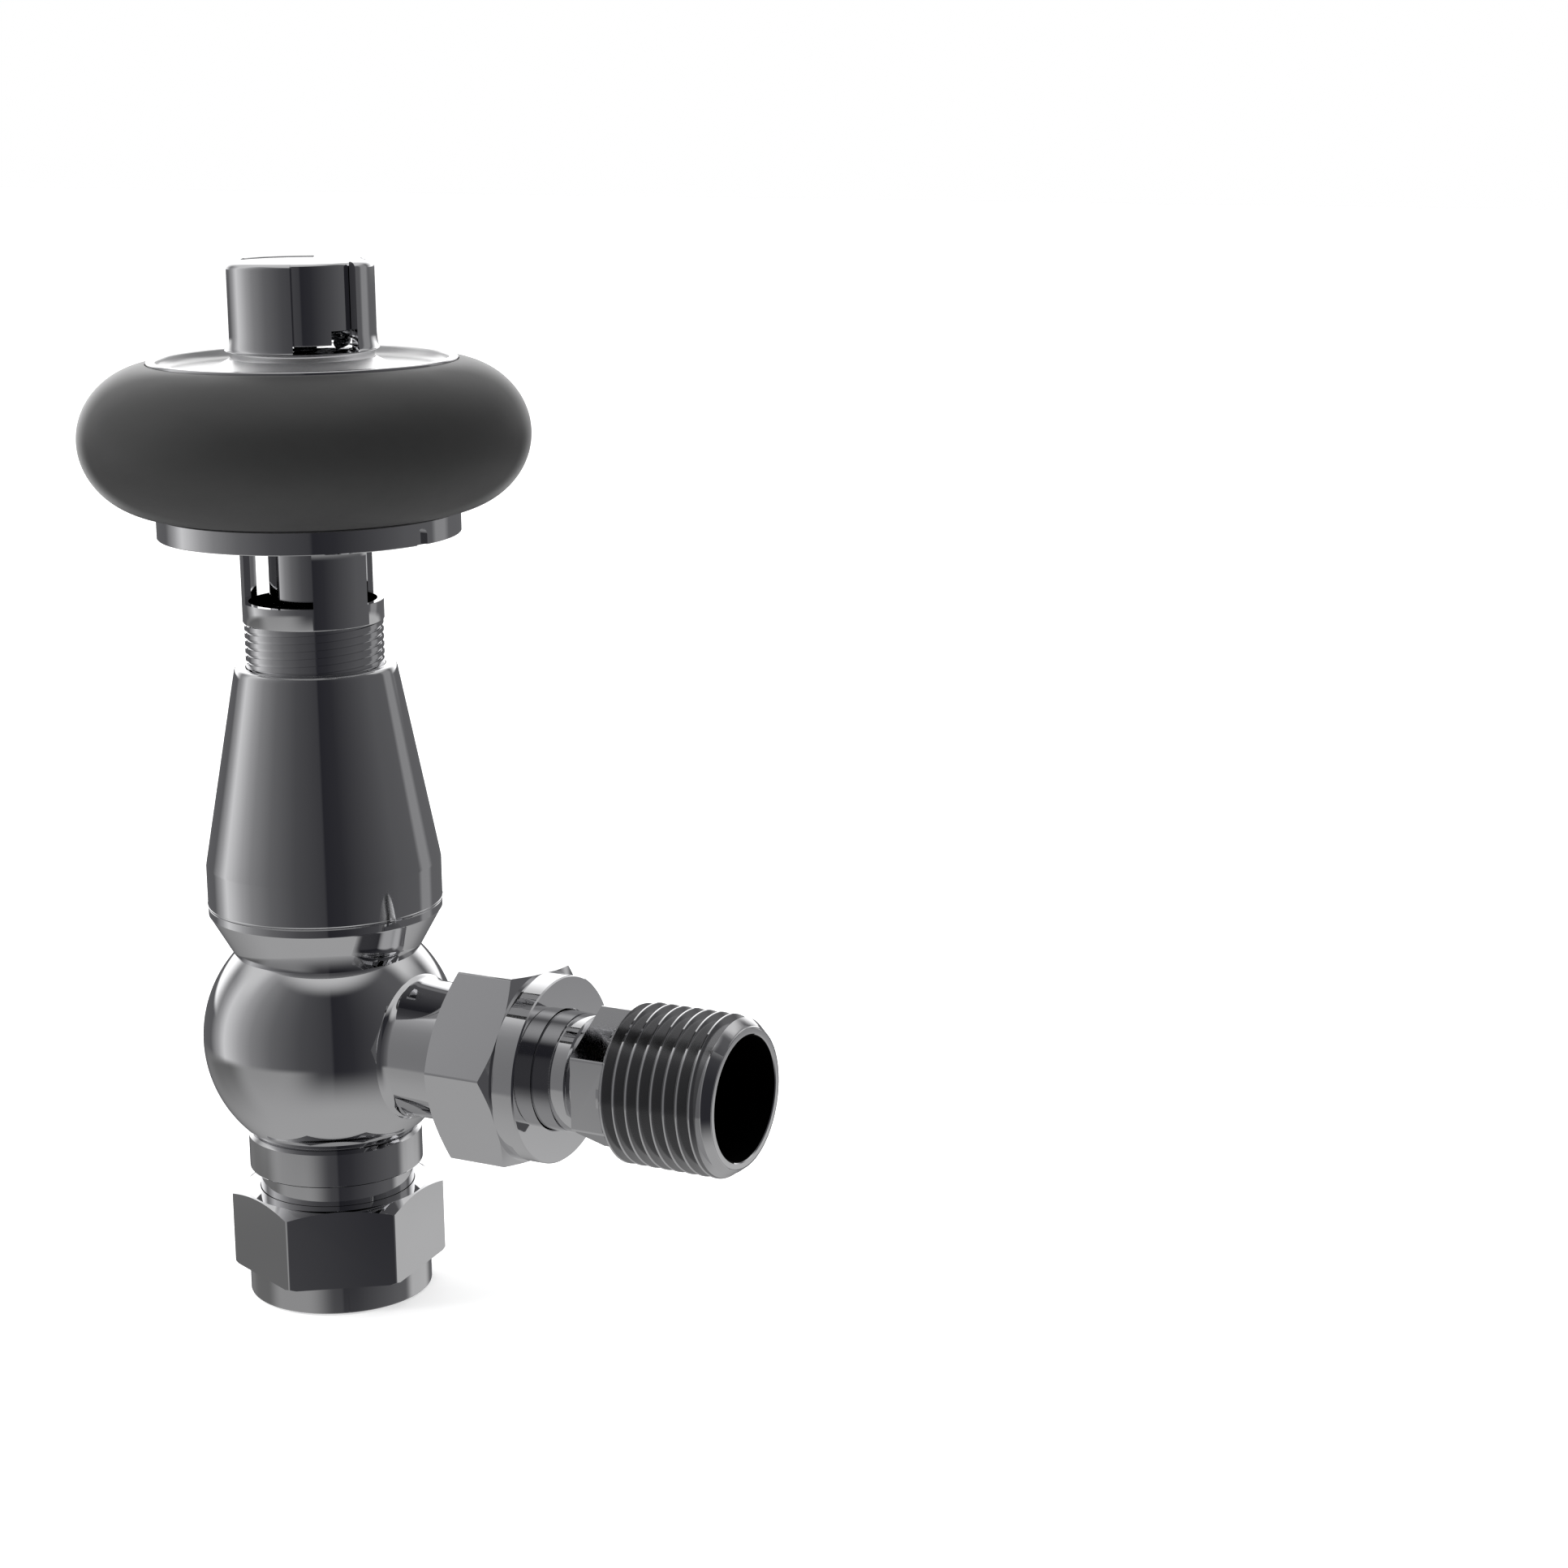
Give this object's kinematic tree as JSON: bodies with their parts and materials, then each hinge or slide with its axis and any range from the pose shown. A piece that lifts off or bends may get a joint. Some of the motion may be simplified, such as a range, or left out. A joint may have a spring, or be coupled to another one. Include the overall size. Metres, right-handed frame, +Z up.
{
  "type": "thermostatic radiator valve",
  "caption": "Angle thermostatic radiator valve with a ball body, conical shroud, open cage and doughnut handwheel around its sensor; threaded tail and compression inlet.",
  "frame": {"origin": "centre of the pipe nut's bottom face, where the pipe enters, on the spindle axis", "axes": "+Z up the spindle axis, away from the pipe; +X along the radiator tail, towards the radiator"},
  "size_m": [0.0928, 0.0584, 0.1392],
  "materials": {
    "black_nickel": "polished black nickel plate on brass",
    "black_wood": "satin black lacquer on turned wood",
    "brass": "machined brass",
    "stainless_steel": "drawn stainless steel",
    "black_rubber": "moulded nitrile rubber",
    "white_nylon": "moulded nylon"
  },
  "bodies": {
    "valve": {"valve_body": "black_nickel", "olive": "brass", "radiator_tail": "black_nickel", "tail_snap_ring": "brass", "tail_seal": "black_rubber", "insert_housing": "brass", "insert_guide": "brass", "insert_seal": "black_rubber", "gland_nut": "brass", "gland_seal": "black_rubber", "return_spring": "stainless_steel", "shroud": "black_nickel"},
    "pipe_nut": {"pipe_nut": "black_nickel"},
    "union_nut": {"union_nut": "black_nickel"},
    "sensor_unit": {"sensor_capsule": "black_nickel", "overtravel_spring": "stainless_steel"},
    "wheel": {"cage_hub": "black_nickel", "travel_stop_ring": "stainless_steel", "rim_screws": "stainless_steel", "wheel_rim": "black_wood", "wheel_dish": "black_nickel", "hub_sleeve": "black_nickel", "hub_cap": "black_nickel", "thrust_washer": "white_nylon"},
    "spindle": {"spindle": "stainless_steel", "disc_holder": "brass", "seat_disc": "black_rubber", "disc_nut": "brass", "push_rod": "stainless_steel"}
  },
  "joints": [
    {"name": "head_travel", "type": "slide", "parent": "valve", "child": "sensor_unit", "axis": [0, 0, -1], "range_m": [0, 0.0025], "deforming": ["return_spring"]},
    {"name": "wheel_turn", "type": "hinge", "parent": "sensor_unit", "child": "wheel", "pos_m": [0, 0, 0.11], "axis": [0, 0, -1], "range_deg": [0, 300.05]},
    {"name": "sensor_stroke", "type": "slide", "parent": "sensor_unit", "child": "spindle", "axis": [0, 0, -1], "range_m": [0, 0.0009], "deforming": ["return_spring"]},
    {"name": "pipe_nut_turn", "type": "hinge", "parent": "valve", "child": "pipe_nut", "pos_m": [0, 0, 0.007], "axis": [0, 0, 1], "continuous": true},
    {"name": "union_nut_turn", "type": "hinge", "parent": "valve", "child": "union_nut", "pos_m": [0.03, 0, 0.0357], "axis": [1, 0, 0], "continuous": true}
  ],
  "couplings": [
    {"joint": "wheel_turn", "follows": "head_travel", "rad_per_m": 2094.4}
  ]
}
